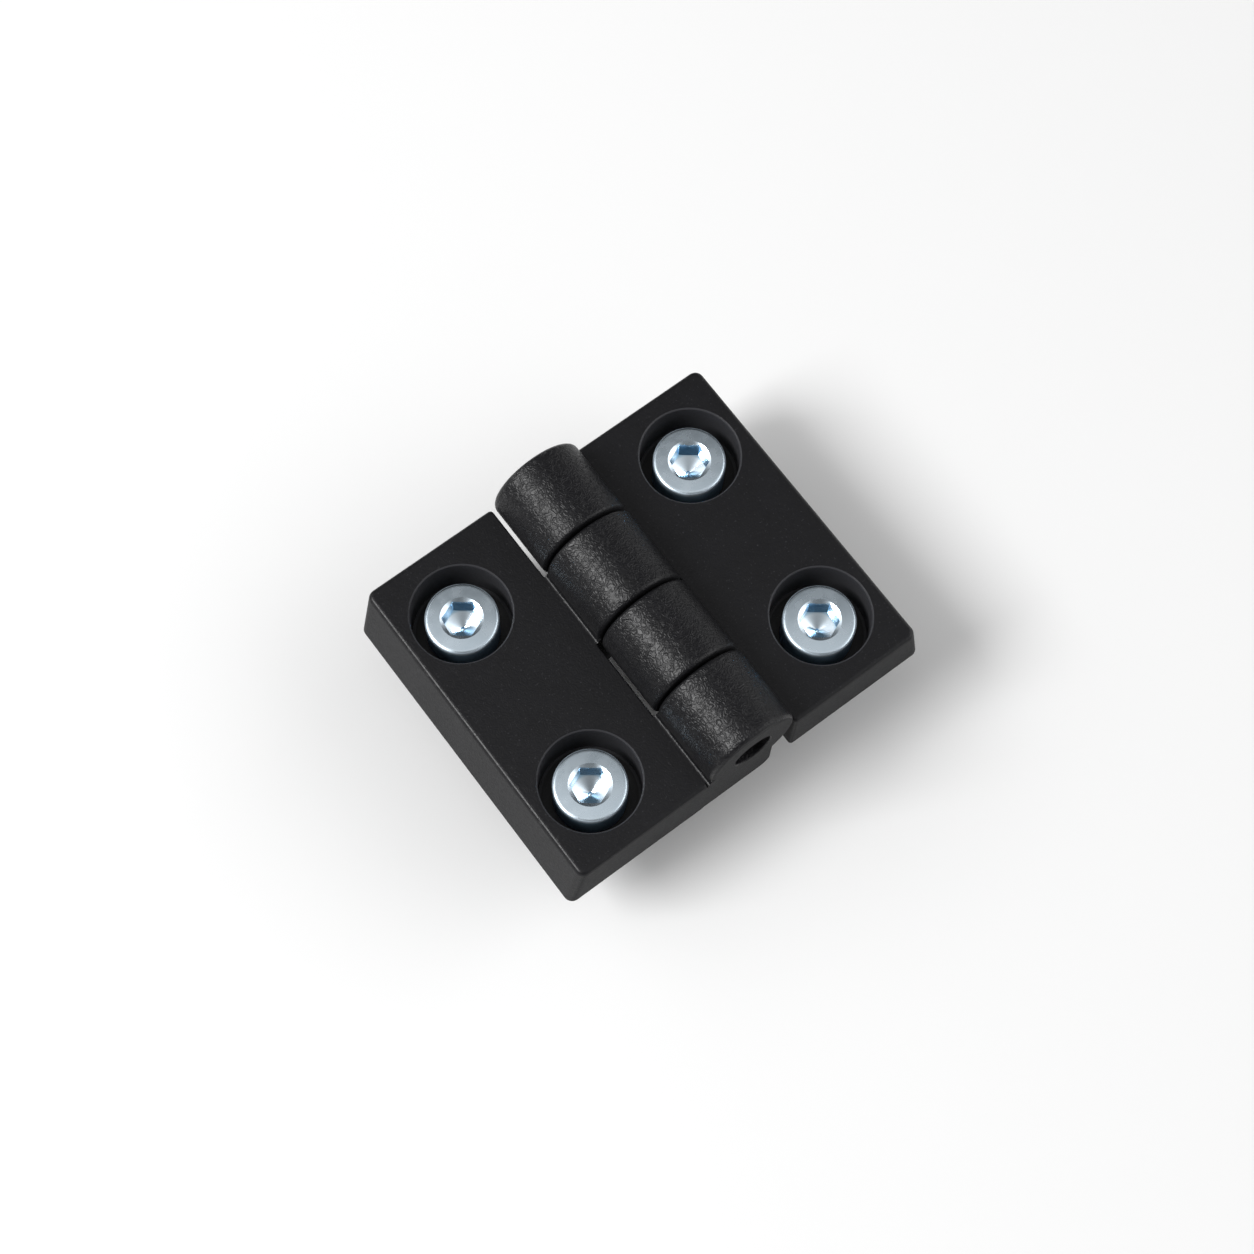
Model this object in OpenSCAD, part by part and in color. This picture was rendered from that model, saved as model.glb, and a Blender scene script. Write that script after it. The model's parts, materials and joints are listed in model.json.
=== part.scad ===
// Butt hinge for slotted profiles: two identical glass-filled nylon leaves turning on a steel pin,
// each held by two socket cap screws sunk in counterbores.
// X runs across the hinge, Y along the pin, Z up from the mounting face.
// The origin is the middle of the four screws, on the mounting face.

/* [Leaf] */
// Pin line to the outer edge of a leaf, at the mounting face
leaf_w = 31; // [30:0.5:40]
// Length of a leaf along the pin
leaf_l = 50.4; // [50:0.2:70]
// Thickness of a leaf
leaf_t = 10.5; // [10:0.5:11.5]
// How far the outer side leans in from the bottom to the top
side_draft = 2; // [0:0.25:2]
// Radius of the outer upright corners
corner_r = 1.3; // [1.1:0.1:3]
// Radius of the upright corners beside the knuckles
inner_corner_r = 0.5; // [0.3:0.1:1]
// Radius of the edge round the top face
edge_r = 0.6; // [0.2:0.1:1]
// Radius of the top edge beside the knuckles
inner_edge_r = 0.2; // [0.1:0.05:0.3]

/* [Screw holes] */
// Spacing of the screws across the hinge
pitch_x = 40; // [39:0.5:41]
// Spacing of the screws along the hinge
pitch_y = 30; // [24:1:30]
// Diameter of the counterbore that takes a screw head
counterbore_d = 14.4; // [11.5:0.1:15]
// Thickness of plastic under a screw head
seat_t = 2.6; // [2:0.1:3.5]
// Room round the shank of a screw, on each side
shank_gap = 0.3; // [0.2:0.05:0.5]
// Bevel at the mouth of a counterbore
rim_bevel = 0.25; // [0.1:0.05:0.5]

/* [Knuckles] */
// How many knuckles share the pin
knuckles = 4; // [2:2:6]
// Diameter of a knuckle
knuckle_d = 14.4; // [12:0.1:15]
// Height of the pin line above the mounting face
axis_h = 12; // [11.5:0.25:13]
// Gap between neighbouring knuckles
knuckle_gap = 0.45; // [0.2:0.05:1]
// Room between a knuckle and the inner face of the other leaf
swing_gap = 0.35; // [0.3:0.05:1]
// How far the row of knuckles stops short of each end of a leaf
end_step = 0.05; // [0.05:0.05:1.5]
// Radius of the edges of a knuckle that face along the pin
knuckle_edge_r = 0.6; // [0.1:0.05:0.8]
// Radius of the outermost edge of the row of knuckles
outer_edge_r = 0.8; // [0.2:0.1:1.2]
// How far a knuckle's foot reaches past the pin line on the mounting face
foot_reach = 3.75; // [1:0.25:4]
// Radius of the free corner of a foot
foot_r = 1.8; // [0.5:0.1:2.5]
// Radius of the fillet between a knuckle and the top of its own leaf
seam_r = 0.45; // [0.2:0.05:0.6]

/* [Pin] */
// Diameter of the hinge pin
pin_d = 6; // [4:0.5:7]
// Running room round the pin, on each side
pin_gap = 0.05; // [0.03:0.01:0.08]
// Depth of each pin end inside its knuckle
pin_recess = 3; // [1:0.5:4]
// Bevel at the mouth of the pin bore
bore_bevel = 0.15; // [0.1:0.05:0.8]
// Length of the splined band that holds the pin in its knuckle
spline_l = 4; // [1.5:0.5:4]
// Height of the splines above the pin
spline_rise = 0.12; // [0.09:0.01:0.2]
// How many splines go round the pin
splines = 24; // [13:1:32]

/* [Screws] */
// Thread diameter of a screw
screw_d = 6; // [5:0.5:6]
// Length of a screw under its head
screw_l = 14; // [12:1:20]
// How far the plain neck above the thread is drawn in, on each side
neck_drop = 0.3; // [0.2:0.05:0.5]
// Diameter of a screw head
head_d = 10.5; // [10:0.1:10.8]
// Height of a screw head
head_h = 6; // [5:0.5:6.5]
// Bevel round the top of a screw head
head_bevel = 0.4; // [0.2:0.1:0.8]
// Width across the flats of the socket
key_w = 5; // [4:0.5:5.5]
// Depth of the socket's flat sides
key_depth = 4; // [2:0.25:4.25]
// Depth of the cone below the flat sides
cone_depth = 0.9; // [0.5:0.1:1]
// How far the mouth of the socket opens out past its corners
lead_in = 0.2; // [0.1:0.05:0.4]
// Slope of the bevel at the mouth of the socket, in degrees
lead_slope = 30; // [25:5:45]
// Turn of the socket about its screw
key_turn = 23; // [0:1:59]

/* [Underside] */
// Thickness of plastic over the pockets
roof_t = 2.6; // [2:0.1:4]
// Thickness of the wall along the outer side
outer_wall = 3.8; // [3:0.1:5]
// Thickness of the other walls
wall = 2.6; // [2:0.1:3.5]
// Wall round a counterbore
boss_wall = 1.9; // [1.5:0.1:2.4]
// Thickness of a rib
rib_t = 1.8; // [1.2:0.1:2.5]
// How many ribs run along the hinge between the screws
ribs = 2; // [1:1:3]
// Radius of the pocket corners
pocket_r = 0.6; // [0.2:0.1:0.8]

/* [Hidden] */

$fn = 96;
// Facets of the blended outside of a leaf
blend_fn = 32;
// Steps in the arc of a small edge radius
edge_steps = 5;
// Thickness of the layers that the leaf is blended through
layer_t = 0.01;
// How far a cut runs past the face it opens
past = 1;
// How deep one part of a moulding reaches into the next
merge = 2;

knuckle_r = knuckle_d / 2;
bore_r = pin_d / 2 + pin_gap;
inner_x = knuckle_r + swing_gap;
row_l = leaf_l - 2 * end_step;
knuckle_pitch = (row_l + knuckle_gap) / knuckles;
knuckle_l = knuckle_pitch - knuckle_gap;
pin_l = row_l - 2 * pin_recess;
hole_x = pitch_x / 2;
hole_y = pitch_y / 2;
boss_r = counterbore_d / 2 + boss_wall;
// Middle of the fillet's arc, which touches the top of the leaf and the round of the knuckle
seam_z = leaf_t + seam_r;
seam_x = -sqrt(pow(knuckle_r + seam_r, 2) - pow(axis_h - seam_z, 2));

black = "#242427";
zinc = "#a9b9c6";
steel = "#8b8e92";

function unit(v) = v / norm(v);

// Points that round the corner p, between its neighbours a and b, to the radius r
function round_corner(a, p, b, r, steps = edge_steps) =
    let (u = unit(a - p), v = unit(b - p))
    let (half = acos(u * v) / 2)
    let (centre = p + unit(u + v) * r / sin(half))
    let (from = p + u * r / tan(half) - centre, to = p + v * r / tan(half) - centre)
    let (start = atan2(from[1], from[0]), turn = atan2(to[1], to[0]) - start)
    let (sweep = turn > 180 ? turn - 360 : turn < -180 ? turn + 360 : turn)
    [for (i = [0:steps]) centre + r * [cos(start + sweep * i / steps), sin(start + sweep * i / steps)]];

// A closed outline with every corner rounded to the radius r
function rounded(points, r) = [
    for (i = [0:len(points) - 1])
        each round_corner(
            points[(i + len(points) - 1) % len(points)], points[i], points[(i + 1) % len(points)], r)
];

// A profile drawn across the hinge, in X and Z, drawn out along Y from y0 to y1
module along_pin(y0, y1) {
    translate([0, y1, 0])
        rotate([90, 0, 0])
            linear_extrude(height = y1 - y0)
                children();
}

// How far an edge of radius r has drawn in at a depth below the top face
function eased(r, depth) = depth >= r ? 0 : r - sqrt(r * r - pow(r - depth, 2));

// One level of the leaf's outside: a thin slab at height z
module leaf_level(z) {
    depth = leaf_t - layer_t - z;
    inset = eased(edge_r, depth);
    x0 = -leaf_w + side_draft * z / leaf_t + inset;
    x1 = -inner_x - eased(inner_edge_r, depth);
    y1 = leaf_l / 2 - inset;
    outer_r = max(corner_r - inset, edge_r / 2);
    for (side = [-1, 1]) {
        translate([x0 + outer_r, side * (y1 - outer_r), z])
            cylinder(r = outer_r, h = layer_t, $fn = blend_fn);
        translate([x1 - inner_corner_r, side * (y1 - inner_corner_r), z])
            cylinder(r = inner_corner_r, h = layer_t, $fn = blend_fn);
    }
}

// The flat body of the left leaf, with its sloping sides and eased top edge
module leaf_body() {
    hull() {
        leaf_level(0);
        for (i = [0:edge_steps])
            leaf_level(leaf_t - layer_t - edge_r * (1 - sin(90 * i / edge_steps)));
    }
}

// A quarter round on the corner of a turned profile, from the end face to the side
function turned_edge(r, end_z, dir) = [
    for (i = [0:edge_steps])
        let (a = 90 * i / edge_steps)
        [knuckle_r - r * (1 - sin(a)), end_z - dir * r * (1 - cos(a))]
];

// The round barrel of a knuckle, from y0 to y1, with its own edge radius at each end
module barrel(y0, y1, r0, r1) {
    translate([0, 0, axis_h])
        rotate([-90, 0, 0])
            rotate_extrude()
                polygon(concat(
                    [[0, y0]], turned_edge(r0, y0, -1),
                    [for (i = [edge_steps:-1:0]) turned_edge(r1, y1, 1)[i]], [[0, y1]]));
}

// The foot that carries a knuckle down to the mounting face and over to its leaf
module foot(y0, y1) {
    base = [foot_reach, 0];
    top = [foot_reach, axis_h];
    // The fillet's arc runs from the knuckle round to the top of the leaf
    from = atan2(axis_h - seam_z, -seam_x);
    along_pin(y0, y1)
        polygon(concat(
            [[-inner_x - merge, 0]],
            round_corner([-inner_x - merge, 0], base, top, foot_r),
            [top],
            [for (i = [0:edge_steps])
                let (a = from - (from + 90) * i / edge_steps)
                [seam_x, seam_z] + seam_r * [cos(a), sin(a)]],
            [[-inner_x - merge, leaf_t]]));
}

// Where knuckle k starts and ends, counted from the back
function knuckle_y1(k) = row_l / 2 - k * knuckle_pitch;
function knuckle_y0(k) = knuckle_y1(k) - knuckle_l;

// Knuckle k with its foot, before the pin bore
module knuckle(k) {
    y0 = knuckle_y0(k);
    y1 = knuckle_y1(k);
    r0 = k == knuckles - 1 ? outer_edge_r : knuckle_edge_r;
    r1 = k == 0 ? outer_edge_r : knuckle_edge_r;
    barrel(y0, y1, r0, r1);
    difference() {
        foot(y0, y1);
        // The end foot stays clear of the eased edge at the end of the leaf
        if (k == knuckles - 1)
            translate([-inner_x - merge - past, y0 - past, leaf_t - edge_r])
                cube([merge + past, edge_r + past, edge_r + past]);
    }
}

// The bore that runs through every knuckle, opened out at the end of the row
module pin_bore() {
    translate([0, 0, axis_h])
        rotate([90, 0, 0]) {
            cylinder(r = bore_r, h = leaf_l + 2 * past, center = true);
            translate([0, 0, row_l / 2 - bore_bevel])
                cylinder(r1 = bore_r, r2 = bore_r + bore_bevel + past, h = bore_bevel + past);
        }
}

// The stepped hole for one screw
module screw_hole() {
    translate([0, 0, -past])
        cylinder(d = screw_d + 2 * shank_gap, h = seat_t + 2 * past);
    translate([0, 0, seat_t])
        cylinder(d = counterbore_d, h = leaf_t);
    translate([0, 0, leaf_t - rim_bevel])
        cylinder(
            d1 = counterbore_d, d2 = counterbore_d + 2 * (rim_bevel + past), h = rim_bevel + past);
}

// The pockets under the left leaf, between the bosses, the walls and the ribs
module pockets() {
    x0 = -leaf_w + outer_wall;
    x1 = -inner_x - wall;
    y1 = leaf_l / 2 - wall;
    cell_w = (x1 - x0 - ribs * rib_t) / (ribs + 1);
    translate([0, 0, -past])
        linear_extrude(height = leaf_t - roof_t + past)
            difference() {
                for (i = [0:ribs], side = [-1, 1]) {
                    cx = x0 + i * (cell_w + rib_t);
                    polygon(rounded([
                        [cx, side * rib_t / 2], [cx + cell_w, side * rib_t / 2],
                        [cx + cell_w, side * hole_y], [cx, side * hole_y]
                    ], pocket_r));
                }
                for (side = [-1, 1])
                    translate([-hole_x, side * hole_y])
                        circle(r = boss_r);
                // The row of pockets ends beside the bosses
                for (side = [-1, 1])
                    translate([x0 - past, side > 0 ? hole_y - boss_r / 2 : -hole_y - boss_r])
                        square([x1 - x0 + 2 * past, boss_r * 1.5]);
            }
}

// The left leaf as moulded: body and its knuckles, drilled and cored
module leaf() {
    difference() {
        union() {
            leaf_body();
            for (k = [1:2:knuckles - 1])
                knuckle(k);
        }
        pin_bore();
        for (side = [-1, 1])
            translate([-hole_x, side * hole_y, 0])
                screw_hole();
        pockets();
    }
}

module leaf_left() {
    color(black) leaf();
}

// The same moulding turned end for end
module leaf_right() {
    color(black) rotate([0, 0, 180]) leaf();
}

// The pin: a plain rod with bevelled ends and a splined band in the front knuckle
module hinge_pin() {
    r = pin_d / 2;
    bevel = r / 6;
    crest = r + spline_rise;
    color(steel)
        translate([0, 0, axis_h]) rotate([90, 0, 0]) {
            translate([0, 0, -pin_l / 2])
                rotate_extrude()
                    polygon([
                        [0, 0], [r - bevel, 0], [r, bevel], [r, pin_l - bevel],
                        [r - bevel, pin_l], [0, pin_l]
                    ]);
            translate([0, 0, pin_l / 2 - bevel - spline_l])
                linear_extrude(height = spline_l)
                    polygon([
                        for (i = [0:2 * splines - 1])
                            let (a = 180 * i / splines, s = i % 2 == 0 ? crest : r - spline_rise)
                            s * [cos(a), sin(a)]
                    ]);
        }
}

// One socket cap screw, seated at the origin with its shank hanging down.
// Its neck is plain as far as the mounting face, where the thread starts.
module cap_screw() {
    r = head_d / 2;
    shank_r = screw_d / 2;
    neck_r = shank_r - neck_drop;
    tip = shank_r / 5;
    key_r = key_w / sqrt(3);
    mouth = (key_r + lead_in - key_w / 2) * tan(lead_slope);
    color(zinc)
        difference() {
            rotate_extrude()
                polygon([
                    [0, -screw_l], [shank_r - tip, -screw_l], [shank_r, tip - screw_l],
                    [shank_r, -seat_t], [neck_r, neck_drop - seat_t],
                    [neck_r, -neck_drop], [shank_r, 0], [r - head_bevel / 3, 0],
                    [r, head_bevel / 3], [r, head_h - head_bevel], [r - head_bevel, head_h],
                    [0, head_h]
                ]);
            rotate([0, 0, key_turn])
                translate([0, 0, head_h - key_depth])
                    cylinder(r = key_r, h = key_depth + past, $fn = 6);
            // The cone below the flats
            translate([0, 0, head_h - key_depth - cone_depth])
                cylinder(r1 = 0, r2 = key_w / 2, h = cone_depth);
            // The bevel that leads the key in
            translate([0, 0, head_h - mouth])
                cylinder(
                    r1 = key_w / 2, r2 = key_w / 2 + (mouth + past) / tan(lead_slope),
                    h = mouth + past);
        }
}

module screw_at(x, y) {
    translate([x, y, seat_t]) cap_screw();
}

module screw_left_back() { screw_at(-hole_x, hole_y); }
module screw_left_front() { screw_at(-hole_x, -hole_y); }
module screw_right_back() { screw_at(hole_x, hole_y); }
module screw_right_front() { screw_at(hole_x, -hole_y); }

leaf_left();
leaf_right();
hinge_pin();
screw_left_back();
screw_left_front();
screw_right_back();
screw_right_front();
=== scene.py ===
"""Looks of a black nylon butt hinge with four zinc-plated socket cap screws.

The leaves and the pin are the frame's own pieces with moulded and ground finishes. The screws are
modelled here with their rolled threads and pressed sockets, in place of the frame's plain ones.
"""

import json
import math

import bmesh
import bpy
from mathutils import Matrix, Vector


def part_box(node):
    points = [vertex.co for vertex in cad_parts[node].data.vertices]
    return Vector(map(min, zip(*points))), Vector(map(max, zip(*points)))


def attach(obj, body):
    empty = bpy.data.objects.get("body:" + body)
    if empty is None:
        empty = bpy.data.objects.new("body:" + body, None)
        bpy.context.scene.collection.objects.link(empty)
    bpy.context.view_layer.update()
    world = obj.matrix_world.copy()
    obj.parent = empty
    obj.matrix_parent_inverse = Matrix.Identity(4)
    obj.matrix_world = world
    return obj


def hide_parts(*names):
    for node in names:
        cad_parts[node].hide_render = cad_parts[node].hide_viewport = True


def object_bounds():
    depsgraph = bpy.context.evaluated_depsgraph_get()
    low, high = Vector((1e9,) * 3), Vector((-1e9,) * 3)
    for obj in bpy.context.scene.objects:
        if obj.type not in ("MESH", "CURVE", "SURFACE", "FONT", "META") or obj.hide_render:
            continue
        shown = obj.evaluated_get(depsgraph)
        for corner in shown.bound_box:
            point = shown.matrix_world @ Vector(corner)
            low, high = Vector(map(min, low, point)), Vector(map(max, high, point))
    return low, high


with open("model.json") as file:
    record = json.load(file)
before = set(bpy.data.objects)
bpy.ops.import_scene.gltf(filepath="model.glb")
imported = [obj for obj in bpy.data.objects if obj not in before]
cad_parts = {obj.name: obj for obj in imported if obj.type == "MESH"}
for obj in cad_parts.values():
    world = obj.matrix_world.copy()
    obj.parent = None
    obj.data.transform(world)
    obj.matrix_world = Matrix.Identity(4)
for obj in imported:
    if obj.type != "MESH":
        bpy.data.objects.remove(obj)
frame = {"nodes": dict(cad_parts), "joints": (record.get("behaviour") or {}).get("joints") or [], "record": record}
cad_low, cad_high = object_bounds()

MM = 0.001

# Sizes read from the frame
mounts = {mount["name"]: mount for mount in frame["record"]["mounts"]}
screw_pattern = mounts["screws"]["dims"]
joint = frame["joints"][0]
PIN_HEIGHT = joint["pos_m"][2]
PITCH_X = screw_pattern["spacing_x_mm"] * MM
PITCH_Y = screw_pattern["spacing_y_mm"] * MM
_, leaf_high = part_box("leaf_left")
KNUCKLE_R = leaf_high.z - PIN_HEIGHT
screw_low, screw_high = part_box("screw_left_back")
THREAD_R = screw_pattern["stud_r_mm"] * MM
HEAD_R = (screw_high.x - screw_low.x) / 2
HEAD_TOP = screw_high.z
SCREW_TIP = screw_low.z

# A screw's head: its height, how wide and how deep its rim is rounded, the bevel at its foot, and
# how its top falls from the socket to the rim
HEAD_HEIGHT = 6 * MM
HEAD_EDGE = 0.6 * MM
HEAD_DROP = 0.4 * MM
HEAD_FOOT = 0.15 * MM
HEAD_SLOPE = math.tan(math.radians(3))

# A screw's socket: half its width over the flats, its depth, its turn about the axis, its bevelled
# mouth, and the cone of its floor with a small pit in the middle
KEY_HALF = 2.5 * MM
KEY_DEPTH = 4.0 * MM
KEY_TURN = math.radians(23)
MOUTH_R = KEY_HALF / math.cos(math.radians(30)) + 0.2 * MM
MOUTH_SLOPE = math.tan(math.radians(30))
FLOOR_SLOPE = 0.9 * MM / KEY_HALF
PIT_R = 0.35 * MM

# A screw's neck, core and tip
NECK_R = THREAD_R - 0.3 * MM
NECK_END = 0.35 * MM
CORE_R = THREAD_R - 0.56 * MM
TIP_BEVEL = 0.6 * MM

# The ridge of a thread: half its width at root and crest in pitches, how far its root lies in the
# core in thread depths, the shares of the helix between which it is fully grown, and the helix's
# points per turn
THREAD_PITCH = 1.0 * MM
RIDGE_ROOT = 0.46
RIDGE_CREST = 0.07
RIDGE_SUNK = 0.06
RIDGE_GROWN = 0.05
RIDGE_SHRINKS = 0.96
HELIX_POINTS = 40

# Soft edges between finishes and painted marks, each as the two places between which a mask runs
# from 0 to 1: distances from the pin line, distances from a screw's axis, and heights
BARREL_EDGE = (KNUCKLE_R + 0.3 * MM, KNUCKLE_R + 0.1 * MM)
COUNTERBORE_EDGE = (7.3 * MM, 7.2 * MM)
# The wall edges bound the painted sheen in the counterbores
WALL_OUTSIDE = (7.42 * MM, 7.38 * MM)
WALL_INSIDE = (6.7 * MM, 6.9 * MM)
WALL_FOOT = (1.0 * MM, 2.0 * MM)
# Below the head's top the zinc gets its painted shade
BELOW_HEAD_TOP = (HEAD_TOP - 0.4 * MM, HEAD_TOP - 1.4 * MM)
HEAD_SIDE = (HEAD_R - 0.3 * MM, HEAD_R - 0.1 * MM)
SOCKET_FLOOR = (HEAD_TOP - KEY_DEPTH + 0.1 * MM, HEAD_TOP - KEY_DEPTH - 0.1 * MM)
SOCKET_EDGE = (MOUTH_R + 0.1 * MM, MOUTH_R)

# How squarely a face looks along the pin before it counts as an end, and how little it looks up
# before it counts as upright
END_FACE = (0.6, 0.95)
UPRIGHT_FACE = (0.5, 0.3)

# Where the grain and the clouds have their values
GRAIN_SPAN = (0.2, 0.8)
CLOUD_SPAN = (0.3, 0.7)

# Nylon: its colours, the depth of its grain, the share of that depth left on the flat faces and the
# share lost in the counterbores, its roughness from the hollows to the tops of the grain, and what
# the upright sides and the ends add to it
NYLON_DEEP = (0.0035, 0.0035, 0.0042, 1)
NYLON_LIFTED = (0.006, 0.006, 0.0075, 1)
NYLON_SPECK = (0.05, 0.05, 0.055, 1)
# The paler colour of the walls round the screws is a painted sheen
NYLON_PAINTED_SHEEN = (0.04, 0.04, 0.044, 1)
SPECK_STRENGTH = 0.5
NYLON_GRAIN = 0.05 * MM
FLAT_GRAIN = 0.35
COUNTERBORE_LOSS = 0.9
NYLON_ROUGH = (0.38, 0.32)
UPRIGHT_ROUGH = (0.22, 0.38)
NYLON_SPECULAR = 0.28

# Zinc plating: its colours, the depth of its grain, its roughness, and how much smoother it is below
# the head's top and how much rougher on the head's side
ZINC_DEEP = (0.61, 0.72, 0.81, 1)
ZINC_PALE = (0.72, 0.82, 0.90, 1)
# The darker blue below the head's top is a painted shade
ZINC_PAINTED_SHADE = (0.38, 0.57, 0.73, 1)
ZINC_FLOOR = (0.74, 0.85, 0.94, 1)
ZINC_GRAIN = 0.002 * MM
ZINC_ROUGH = (0.22, 0.30)
BELOW_SMOOTHER = 0.12
SIDE_ROUGHER = 0.35

# Ground steel: its colours and its roughness
STEEL_DEEP = (0.14, 0.14, 0.145, 1)
STEEL_PALE = (0.24, 0.24, 0.245, 1)
STEEL_ROUGH = (0.28, 0.42)

# The floor
FLOOR_HALF = 3.0
FLOOR_TONE = (0.78, 0.78, 0.78, 1)
FLOOR_ROUGH = 0.9
FLOOR_SPECULAR = 0.1

# The key light: the way to it, how far off and how wide it is, and its power
LAMP_WAY = Vector((-0.635, 0.212, 0.743))
LAMP_DISTANCE = 1.2
LAMP_SIZE = 0.5
LAMP_POWER = 12.0

# The studio: the strength of the walls beside the camera, of the ceiling low down and high up, how
# much of the ceiling counts beyond the hinge and overhead, and what is left behind the camera
LEFT_WALL = 1.35
RIGHT_WALL = 1.8
CEILING = (0.36, 0.47)
CEILING_SHARE = (0.4, 1.5)
BEHIND_SHARE = 0.25

# The studio's soft edges, each as two parts of a direction: towards the camera's right, upwards, or
# back to the camera
LEFT_SIDE = (-0.35, -0.75)
LEFT_FOOT = (0.35, 0.6)
RIGHT_SIDE = (0.35, 0.75)
RIGHT_FOOT = (0.05, 0.3)
WALL_TOP = (0.92, 0.74)
CEILING_RISE = (0.2, 0.5)
CEILING_EDGE = (-0.5, -0.15)
BEHIND_EDGE = (0.05, 0.5)

# The camera of the photograph, with its angles in degrees and its lens and sensor in millimetres
VIEW_AZIMUTH = -39.81
VIEW_ELEVATION = 70.95
VIEW_ROLL = 3.04
VIEW_DISTANCE = 0.3567
VIEW_AIM = Vector((-0.00039, 0.00249, 0))
LENS = 71.57
SENSOR = 36
NEAREST = 0.01
FARTHEST = 20


def add_node(tree, kind, inputs=None, **settings):
    """A node with its settings, and its inputs by name or number: a socket is linked, a value is set."""
    node = tree.nodes.new(kind)
    for name, value in settings.items():
        setattr(node, name, value)
    for key, value in (inputs or {}).items():
        if isinstance(value, bpy.types.NodeSocket):
            tree.links.new(value, node.inputs[key])
        else:
            node.inputs[key].default_value = value
    return node


def add_math(tree, operation, *values):
    """One or more values through a Math node."""
    inputs = dict(enumerate(values))
    return add_node(tree, "ShaderNodeMath", inputs, operation=operation).outputs[0]


def multiply(tree, first, *others):
    """Values multiplied together, one after the other."""
    for other in others:
        first = add_math(tree, "MULTIPLY", first, other)
    return first


def opposite(tree, mask):
    """A mask turned round, from 1 to 0."""
    return add_math(tree, "SUBTRACT", 1.0, mask)


def hypotenuse(tree, across, along):
    """The distance of a point from an axis, from its two parts."""
    squares = add_math(tree, "ADD", multiply(tree, across, across), multiply(tree, along, along))
    return add_math(tree, "SQRT", squares)


def map_range(tree, value, low, high, to_low=0.0, to_high=1.0):
    """A value carried smoothly from one range to another."""
    inputs = {"Value": value, "From Min": low, "From Max": high, "To Min": to_low, "To Max": to_high}
    return add_node(tree, "ShaderNodeMapRange", inputs, interpolation_type="SMOOTHSTEP").outputs[0]


def mix_colour(tree, factor, first, second):
    """Two colours mixed by a factor."""
    inputs = {"Factor": factor, 6: first, 7: second}
    return add_node(tree, "ShaderNodeMix", inputs, data_type="RGBA").outputs[2]


def new_group(name, inputs, outputs):
    """An empty shader node group, with its input and output nodes."""
    group = bpy.data.node_groups.new(name, "ShaderNodeTree")
    for label, kind, value in inputs:
        socket = group.interface.new_socket(label, in_out="INPUT", socket_type=kind)
        if value is not None:
            socket.default_value = value
    for label, kind in outputs:
        group.interface.new_socket(label, in_out="OUTPUT", socket_type=kind)
    return group, group.nodes.new("NodeGroupInput"), group.nodes.new("NodeGroupOutput")


def place_group(tree, group, inputs):
    """The output of a node group placed in a material with its own values."""
    return add_node(tree, "ShaderNodeGroup", inputs, node_tree=group).outputs[0]


def make_grain_group():
    """Fine wrinkled grain: short curved ridges over a finer tooth."""
    group, given, result = new_group(
        "surface grain",
        [("Vector", "NodeSocketVector", None), ("Scale", "NodeSocketFloat", 3000.0),
         ("Wrinkle", "NodeSocketFloat", 0.6), ("Tooth", "NodeSocketFloat", 0.4)],
        [("Height", "NodeSocketFloat")])
    vector, scale = given.outputs["Vector"], given.outputs["Scale"]
    folds = 32.0
    finer = 4.0
    clouds = add_node(group, "ShaderNodeTexNoise", {
        "Vector": vector, "Scale": scale, "Detail": 1.0, "Roughness": 0.5, "Distortion": 0.5})
    # The sine folds the slow noise into ridges, and then runs from 0 to 1
    waves = add_math(group, "SINE", multiply(group, clouds.outputs[0], folds))
    ridges = add_math(group, "ADD", multiply(group, waves, 0.5), 0.5)
    tooth = add_node(group, "ShaderNodeTexNoise", {
        "Vector": vector, "Scale": multiply(group, scale, finer), "Detail": 2.0})
    height = add_math(
        group, "ADD", multiply(group, ridges, given.outputs["Wrinkle"]),
        multiply(group, tooth.outputs[0], given.outputs["Tooth"]))
    group.links.new(height, result.inputs["Height"])
    return group


def make_speck_group():
    """Sparse pale specks, as a mask: a larger share makes more of them."""
    group, given, result = new_group(
        "specks",
        [("Vector", "NodeSocketVector", None), ("Scale", "NodeSocketFloat", 2500.0),
         ("Share", "NodeSocketFloat", 0.1)],
        [("Mask", "NodeSocketFloat")])
    faintest = 0.78
    fullest = 0.8
    clouds = add_node(group, "ShaderNodeTexNoise", {
        "Vector": given.outputs["Vector"], "Scale": given.outputs["Scale"], "Detail": 1.0})
    edge = add_math(group, "SUBTRACT", faintest, given.outputs["Share"])
    mask = map_range(group, clouds.outputs[0], edge, fullest)
    group.links.new(mask, result.inputs["Mask"])
    return group


def new_material(name):
    """A material with only its shader and output."""
    material = bpy.data.materials.new(name)
    material.use_nodes = True
    tree = material.node_tree
    return material, tree, tree.nodes["Principled BSDF"]


def radius_from_screw(tree, x, y):
    """How far a point lies from the axis of the nearest screw."""
    across = add_math(tree, "SUBTRACT", add_math(tree, "ABSOLUTE", x), PITCH_X / 2)
    along = add_math(tree, "SUBTRACT", add_math(tree, "ABSOLUTE", y), PITCH_Y / 2)
    return hypotenuse(tree, across, along)


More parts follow.
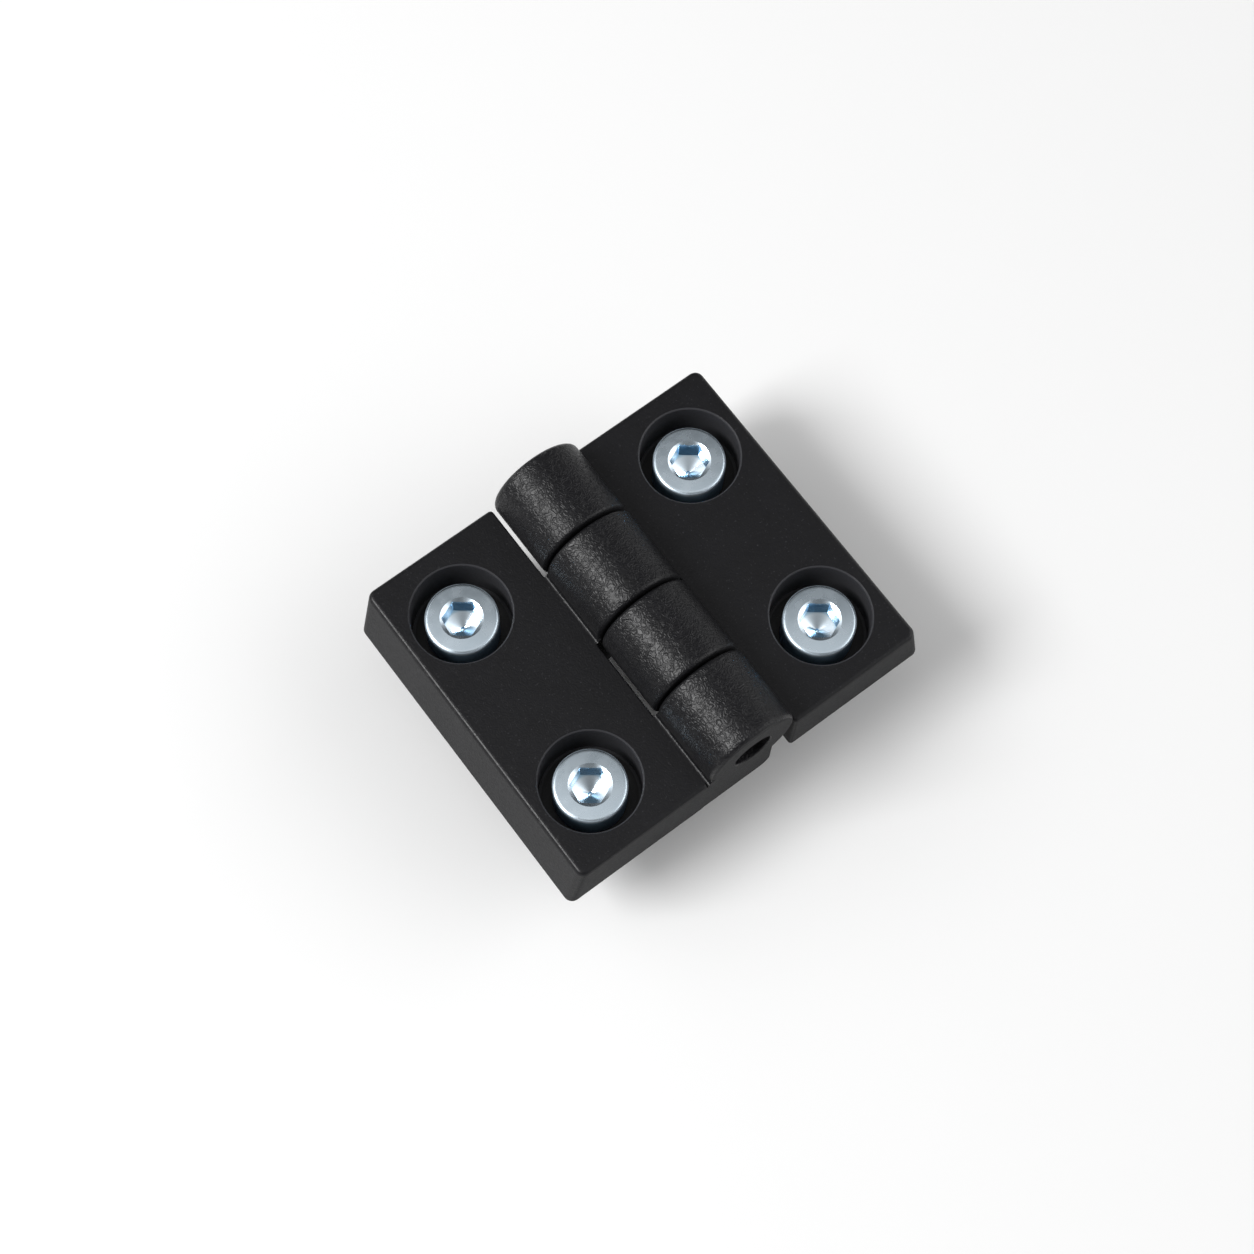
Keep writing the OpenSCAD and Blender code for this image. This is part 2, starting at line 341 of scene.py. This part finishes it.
def make_nylon(grain, specks):
    """Matt black glass-filled nylon, with its deepest grain on the barrels, duller upright sides, and a
    painted sheen on the walls round the screws.
    """
    material, tree, shader = new_material("black_nylon")
    where = add_node(tree, "ShaderNodeTexCoord")
    place = where.outputs["Object"]
    x, y, z = add_node(tree, "ShaderNodeSeparateXYZ", {0: place}).outputs
    facing = add_node(tree, "ShaderNodeSeparateXYZ", {0: where.outputs["Normal"]}).outputs

    # Masks for the ends, the barrels, the counterbores, and the walls of those where a sheen is painted
    end_face = map_range(tree, add_math(tree, "ABSOLUTE", facing[1]), *END_FACE)
    from_pin = hypotenuse(tree, x, add_math(tree, "SUBTRACT", z, PIN_HEIGHT))
    barrel = multiply(tree, map_range(tree, from_pin, *BARREL_EDGE), opposite(tree, end_face))
    radius = radius_from_screw(tree, x, y)
    counterbore = map_range(tree, radius, *COUNTERBORE_EDGE)
    wall_sheen = multiply(
        tree, map_range(tree, radius, *WALL_OUTSIDE), map_range(tree, radius, *WALL_INSIDE),
        map_range(tree, z, *WALL_FOOT))
    upright = multiply(
        tree, map_range(tree, add_math(tree, "ABSOLUTE", facing[2]), *UPRIGHT_FACE),
        opposite(tree, counterbore), opposite(tree, barrel))

    tooth = place_group(tree, grain, {
        "Vector": place, "Scale": 1150.0, "Wrinkle": 0.62, "Tooth": 0.2})
    depth = add_math(tree, "ADD", FLAT_GRAIN, multiply(tree, barrel, 1 - FLAT_GRAIN))
    depth = multiply(tree, depth, opposite(tree, multiply(tree, counterbore, COUNTERBORE_LOSS)))
    bump = add_node(tree, "ShaderNodeBump", {
        "Height": multiply(tree, tooth, depth), "Strength": 1.0, "Distance": NYLON_GRAIN})
    tree.links.new(bump.outputs[0], shader.inputs["Normal"])

    cloud = add_node(tree, "ShaderNodeTexNoise", {"Vector": place, "Scale": 260.0, "Detail": 3.0})
    tone = mix_colour(tree, cloud.outputs[0], NYLON_DEEP, NYLON_LIFTED)
    pale = place_group(tree, specks, {"Vector": place, "Scale": 3600.0, "Share": 0.12})
    tone = mix_colour(tree, multiply(tree, pale, SPECK_STRENGTH), tone, NYLON_SPECK)
    # The walls and rim bevels round the screws are painted paler than the rest: a painted sheen and rim
    #     # highlight, which the key light brings out on the walls that face it
    tone = mix_colour(tree, wall_sheen, tone, NYLON_PAINTED_SHEEN)
    tree.links.new(tone, shader.inputs["Base Color"])

    rough = map_range(tree, tooth, *GRAIN_SPAN, *NYLON_ROUGH)
    dulled = multiply(tree, upright, map_range(tree, end_face, 0.0, 1.0, *UPRIGHT_ROUGH))
    tree.links.new(add_math(tree, "ADD", rough, dulled), shader.inputs["Roughness"])
    shader.inputs["Specular IOR Level"].default_value = NYLON_SPECULAR
    return material


def make_zinc(grain):
    """Blue-white zinc plating over forged steel."""
    material, tree, shader = new_material("zinc_plating")
    place = add_node(tree, "ShaderNodeTexCoord").outputs["Object"]
    tooth = place_group(tree, grain, {"Vector": place, "Scale": 2600.0, "Wrinkle": 0.2, "Tooth": 0.6})
    cloud = add_node(tree, "ShaderNodeTexNoise", {"Vector": place, "Scale": 500.0, "Detail": 3.0})
    x, y, z = add_node(tree, "ShaderNodeSeparateXYZ", {0: place}).outputs
    radius = radius_from_screw(tree, x, y)

    # The plating is painted a darker blue below the head's top, a painted shade for the deep blue that
    #     # light picks up bouncing in the socket and down the head's side, and it is smoother there; it is
    #     # rougher down the head's side, and pale on the socket's floor and on the shank
    below = map_range(tree, z, *BELOW_HEAD_TOP)
    side = map_range(tree, radius, *HEAD_SIDE)
    floor = multiply(tree, map_range(tree, z, *SOCKET_FLOOR), map_range(tree, radius, *SOCKET_EDGE))
    tone = mix_colour(tree, cloud.outputs[0], ZINC_DEEP, ZINC_PALE)
    tone = mix_colour(tree, below, tone, ZINC_PAINTED_SHADE)
    tone = mix_colour(tree, floor, tone, ZINC_FLOOR)
    tree.links.new(tone, shader.inputs["Base Color"])
    rough = map_range(tree, cloud.outputs[0], *CLOUD_SPAN, *ZINC_ROUGH)
    rough = add_math(tree, "SUBTRACT", rough, multiply(tree, below, BELOW_SMOOTHER))
    rough = add_math(tree, "ADD", rough, multiply(tree, side, SIDE_ROUGHER))
    tree.links.new(rough, shader.inputs["Roughness"])
    bump = add_node(tree, "ShaderNodeBump", {
        "Height": tooth, "Strength": 1.0, "Distance": ZINC_GRAIN})
    tree.links.new(bump.outputs[0], shader.inputs["Normal"])
    shader.inputs["Metallic"].default_value = 1.0
    return material


def make_steel(grain):
    """Ground steel of the pin, a little dulled by oil."""
    material, tree, shader = new_material("ground_steel")
    place = add_node(tree, "ShaderNodeTexCoord").outputs["Object"]
    tooth = place_group(tree, grain, {"Vector": place, "Scale": 4000.0, "Wrinkle": 0.3, "Tooth": 0.7})
    tree.links.new(mix_colour(tree, tooth, STEEL_DEEP, STEEL_PALE), shader.inputs["Base Color"])
    rough = map_range(tree, tooth, *GRAIN_SPAN, *STEEL_ROUGH)
    tree.links.new(rough, shader.inputs["Roughness"])
    shader.inputs["Metallic"].default_value = 1.0
    return material


def set_material(piece, material):
    """One material in every slot of a piece."""
    if not piece.material_slots:
        piece.data.materials.append(material)
    for slot in piece.material_slots:
        slot.material = material


def lathe_screw():
    """The body of one screw on its own axis, without its thread: socket, head, neck and core."""
    sides = 96
    rim_steps = 6
    sharp = math.radians(24)
    shape = bmesh.new()

    def around(radius_at, height_at):
        """A ring of points: its radius may follow the angle, and its height follows the radius."""
        ring = []
        for i in range(sides):
            turn = math.tau * i / sides
            radius = radius_at(turn)
            place = (radius * math.cos(turn), radius * math.sin(turn), height_at(radius))
            ring.append(shape.verts.new(place))
        return ring

    def hexagon(turn):
        """How far the socket's flats lie from the axis in one direction."""
        sixth = math.tau / 6
        from_flat = (turn - KEY_TURN) % sixth - sixth / 2
        return KEY_HALF / math.cos(from_flat)

    def circle(radius):
        return lambda turn: radius

    def level(height):
        return lambda radius: height

    floor_z = HEAD_TOP - KEY_DEPTH - KEY_HALF * FLOOR_SLOPE

    def floor_at(radius):
        """The height of the socket's conical floor."""
        return floor_z + radius * FLOOR_SLOPE

    rings = [
        around(circle(PIT_R), floor_at),
        around(lambda turn: hexagon(turn) / 2, floor_at),
        around(hexagon, floor_at),
        around(hexagon, lambda radius: HEAD_TOP - (MOUTH_R - radius) * MOUTH_SLOPE),
        around(circle(MOUTH_R), level(HEAD_TOP)),
    ]
    face_drop = (HEAD_R - HEAD_EDGE - MOUTH_R) * HEAD_SLOPE
    for i in range(rim_steps + 1):
        turn = math.radians(90 * i / rim_steps)
        rings.append(around(
            circle(HEAD_R - HEAD_EDGE * (1 - math.sin(turn))),
            level(HEAD_TOP - face_drop - HEAD_DROP * (1 - math.cos(turn)))))
    seat = HEAD_TOP - HEAD_HEIGHT
    for radius, height in [
            (HEAD_R, seat + HEAD_FOOT), (HEAD_R - HEAD_FOOT, seat), (NECK_R, seat),
            (NECK_R, NECK_END), (CORE_R, NECK_END - (NECK_R - CORE_R)),
            (CORE_R, SCREW_TIP + TIP_BEVEL), (CORE_R - TIP_BEVEL, SCREW_TIP)]:
        rings.append(around(circle(radius), level(height)))
    for first, second in zip(rings, rings[1:]):
        for i in range(sides):
            j = (i + 1) % sides
            shape.faces.new((first[i], first[j], second[j], second[i]))
    for ring, height in ((rings[0], floor_z - PIT_R), (rings[-1], SCREW_TIP)):
        middle = shape.verts.new((0, 0, height))
        for i in range(sides):
            shape.faces.new((ring[i], ring[(i + 1) % sides], middle))
    bmesh.ops.recalc_face_normals(shape, faces=shape.faces)
    for face in shape.faces:
        face.smooth = True
    for seam in shape.edges:
        seam.smooth = seam.calc_face_angle(0) < sharp
    mesh = bpy.data.meshes.new("screw body")
    shape.to_mesh(mesh)
    shape.free()
    return mesh


def make_screw_tree():
    """A row of threaded screws: the given body with a rolled thread, placed along the hinge."""
    tree = bpy.data.node_groups.new("cap screws", "GeometryNodeTree")
    face = tree.interface
    face.new_socket("Geometry", in_out="INPUT", socket_type="NodeSocketGeometry")
    for label, value in [
            ("Core Radius", CORE_R), ("Thread Depth", THREAD_R - CORE_R), ("Pitch", THREAD_PITCH),
            ("Thread Start", SCREW_TIP + TIP_BEVEL), ("Thread End", 0.0), ("Across", PITCH_X / 2),
            ("Spacing", PITCH_Y)]:
        face.new_socket(label, in_out="INPUT", socket_type="NodeSocketFloat").default_value = value
    face.new_socket("Count", in_out="INPUT", socket_type="NodeSocketInt").default_value = 2
    face.new_socket("Material", in_out="INPUT", socket_type="NodeSocketMaterial")
    face.new_socket("Geometry", in_out="OUTPUT", socket_type="NodeSocketGeometry")
    given = tree.nodes.new("NodeGroupInput").outputs

    # The helix runs on the core, and the ridge grows out of it and back into it at its two ends
    length = add_math(tree, "SUBTRACT", given["Thread End"], given["Thread Start"])
    helix = add_node(tree, "GeometryNodeCurveSpiral", {
        "Resolution": HELIX_POINTS, "Rotations": add_math(tree, "DIVIDE", length, given["Pitch"]),
        "Start Radius": given["Core Radius"], "End Radius": given["Core Radius"], "Height": length})
    upright = add_node(tree, "GeometryNodeSetCurveNormal", {
        "Curve": helix.outputs[0]}, mode="Z_UP")
    along = tree.nodes.new("GeometryNodeSplineParameter").outputs["Factor"]
    rise = map_range(tree, along, 0.0, RIDGE_GROWN)
    fall = map_range(tree, along, 1.0, RIDGE_SHRINKS)
    half_root = multiply(tree, given["Pitch"], RIDGE_ROOT)
    half_crest = multiply(tree, given["Pitch"], RIDGE_CREST)
    sunk = multiply(tree, given["Thread Depth"], -RIDGE_SUNK)
    profile = add_node(tree, "GeometryNodeCurvePrimitiveQuadrilateral", mode="POINTS")
    corners = [
        (sunk, multiply(tree, half_root, -1.0)),
        (given["Thread Depth"], multiply(tree, half_crest, -1.0)),
        (given["Thread Depth"], half_crest), (sunk, half_root)]
    for i, (out, up) in enumerate(corners):
        corner = add_node(tree, "ShaderNodeCombineXYZ", {"X": out, "Y": up})
        tree.links.new(corner.outputs[0], profile.inputs[f"Point {i + 1}"])
    ridge = add_node(tree, "GeometryNodeCurveToMesh", {
        "Curve": upright.outputs[0], "Profile Curve": profile.outputs[0],
        "Scale": multiply(tree, rise, fall), "Fill Caps": True})
    start = add_node(tree, "ShaderNodeCombineXYZ", {"Z": given["Thread Start"]})
    raised = add_node(tree, "GeometryNodeTransform", {
        "Geometry": ridge.outputs[0], "Translation": start.outputs[0]})
    screw = tree.nodes.new("GeometryNodeJoinGeometry")
    tree.links.new(raised.outputs[0], screw.inputs[0])
    tree.links.new(given["Geometry"], screw.inputs[0])

    first = add_node(tree, "ShaderNodeCombineXYZ", {
        "X": given["Across"], "Y": multiply(tree, given["Spacing"], -0.5)})
    step = add_node(tree, "ShaderNodeCombineXYZ", {"Y": given["Spacing"]})
    places = add_node(tree, "GeometryNodeMeshLine", {
        "Count": given["Count"], "Start Location": first.outputs[0], "Offset": step.outputs[0]})
    placed = add_node(tree, "GeometryNodeInstanceOnPoints", {
        "Points": places.outputs[0], "Instance": screw.outputs[0]})
    real = add_node(tree, "GeometryNodeRealizeInstances", {"Geometry": placed.outputs[0]})
    finished = add_node(tree, "GeometryNodeSetMaterial", {
        "Geometry": real.outputs[0], "Material": given["Material"]})
    result = tree.nodes.new("NodeGroupOutput")
    tree.links.new(finished.outputs[0], result.inputs["Geometry"])
    return tree


def place_screws(name, side, body_mesh, tree, material, body, nodes):
    """The two screws of one leaf as one plain mesh, in place of the frame's own."""
    maker = bpy.data.objects.new(name, body_mesh.copy())
    bpy.context.scene.collection.objects.link(maker)
    modifier = maker.modifiers.new("screws", "NODES")
    modifier.node_group = tree
    values = {"Across": side * PITCH_X / 2, "Material": material}
    for item in tree.interface.items_tree:
        if item.in_out == "INPUT" and item.name in values:
            modifier[item.identifier] = values[item.name]
    graph = bpy.context.evaluated_depsgraph_get()
    mesh = bpy.data.meshes.new_from_object(maker.evaluated_get(graph))
    mesh.name = name
    maker.modifiers.clear()
    maker.data = mesh
    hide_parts(*nodes)
    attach(maker, body)


def make_floor():
    """A plain pale floor under the lowest point of the hinge."""
    mesh = bpy.data.meshes.new("floor")
    corners = [(-FLOOR_HALF, -FLOOR_HALF), (FLOOR_HALF, -FLOOR_HALF),
               (FLOOR_HALF, FLOOR_HALF), (-FLOOR_HALF, FLOOR_HALF)]
    mesh.from_pydata([(x, y, cad_low.z) for x, y in corners], [], [(0, 1, 2, 3)])
    floor = bpy.data.objects.new("floor", mesh)
    bpy.context.scene.collection.objects.link(floor)
    material, tree, shader = new_material("floor")
    shader.inputs["Base Color"].default_value = FLOOR_TONE
    shader.inputs["Roughness"].default_value = FLOOR_ROUGH
    shader.inputs["Specular IOR Level"].default_value = FLOOR_SPECULAR
    # Seen from below, the floor is clear
    below = tree.nodes.new("ShaderNodeNewGeometry").outputs["Backfacing"]
    clear = tree.nodes.new("ShaderNodeBsdfTransparent").outputs[0]
    both = add_node(tree, "ShaderNodeMixShader", {0: below, 1: shader.outputs[0], 2: clear})
    tree.links.new(both.outputs[0], tree.nodes["Material Output"].inputs["Surface"])
    set_material(floor, material)


def make_key():
    """A soft key light, high on the left."""
    lamp = bpy.data.lights.new("key", "AREA")
    lamp.shape = "RECTANGLE"
    lamp.size = LAMP_SIZE
    lamp.size_y = LAMP_SIZE
    lamp.energy = LAMP_POWER
    holder = bpy.data.objects.new("key", lamp)
    direction = LAMP_WAY.normalized()
    holder.location = direction * LAMP_DISTANCE
    holder.rotation_euler = direction.to_track_quat("Z", "Y").to_euler()
    bpy.context.scene.collection.objects.link(holder)


def make_studio():
    """The light from all round: pale walls beside the camera, a ceiling that is dimmer beyond the
    hinge than overhead, and shade behind the camera."""
    world = bpy.data.worlds.new("studio")
    bpy.context.scene.world = world
    world.use_nodes = True
    tree = world.node_tree
    direction = add_node(tree, "ShaderNodeTexCoord").outputs["Generated"]
    height = add_node(tree, "ShaderNodeSeparateXYZ", {0: direction}).outputs[2]

    def toward(way):
        """How far the direction points one way."""
        return add_node(tree, "ShaderNodeVectorMath", {
            0: direction, 1: way}, operation="DOT_PRODUCT").outputs["Value"]

    turn = math.radians(VIEW_AZIMUTH)
    beside = toward((math.cos(turn), math.sin(turn), 0))
    behind = toward((math.sin(turn), -math.cos(turn), 0))

    left = multiply(
        tree, map_range(tree, beside, *LEFT_SIDE, 0.0, LEFT_WALL),
        map_range(tree, height, *LEFT_FOOT))
    right = multiply(
        tree, map_range(tree, beside, *RIGHT_SIDE, 0.0, RIGHT_WALL),
        map_range(tree, height, *RIGHT_FOOT))
    walls = multiply(tree, add_math(tree, "ADD", left, right), map_range(tree, height, *WALL_TOP))
    ceiling = multiply(
        tree, map_range(tree, height, *CEILING_RISE, *CEILING),
        map_range(tree, behind, *CEILING_EDGE, *CEILING_SHARE))
    shade = map_range(tree, behind, *BEHIND_EDGE, 1.0, BEHIND_SHARE)
    strength = multiply(tree, add_math(tree, "ADD", walls, ceiling), shade)
    background = tree.nodes["Background"].inputs
    tree.links.new(strength, background["Strength"])
    background["Color"].default_value = (1, 1, 1, 1)


def make_camera():
    """The camera at the photograph's angle, from its azimuth, elevation and roll about the aim."""
    turn, tilt = math.radians(VIEW_AZIMUTH), math.radians(VIEW_ELEVATION)
    back = Vector((math.sin(turn) * math.cos(tilt), -math.cos(turn) * math.cos(tilt), math.sin(tilt)))
    data = bpy.data.cameras.new("camera")
    data.lens = LENS
    data.sensor_width = SENSOR
    data.clip_start = NEAREST
    data.clip_end = FARTHEST
    camera = bpy.data.objects.new("camera", data)
    bpy.context.scene.collection.objects.link(camera)
    look = back.to_track_quat("Z", "Y").to_matrix().to_4x4()
    roll = Matrix.Rotation(math.radians(VIEW_ROLL), 4, "Z")
    camera.matrix_world = Matrix.Translation(VIEW_AIM + back * VIEW_DISTANCE) @ look @ roll
    bpy.context.scene.camera = camera


grain = make_grain_group()
specks = make_speck_group()
zinc = make_zinc(grain)
finishes = {"nylon": make_nylon(grain, specks), "steel": make_steel(grain), "zinc": zinc}
for part in frame["record"]["subparts"]:
    set_material(frame["nodes"][part["node"]], finishes[part["material_slot"]])

screw_body = lathe_screw()
screw_tree = make_screw_tree()
for side, leaf in ((-1, "left"), (1, "right")):
    place_screws(
        f"screws_{leaf}", side, screw_body, screw_tree, zinc, f"{leaf}_leaf",
        [f"screw_{leaf}_back", f"screw_{leaf}_front"])

make_floor()
make_key()
make_studio()
make_camera()

view = bpy.context.scene.view_settings
view.view_transform = "Standard"
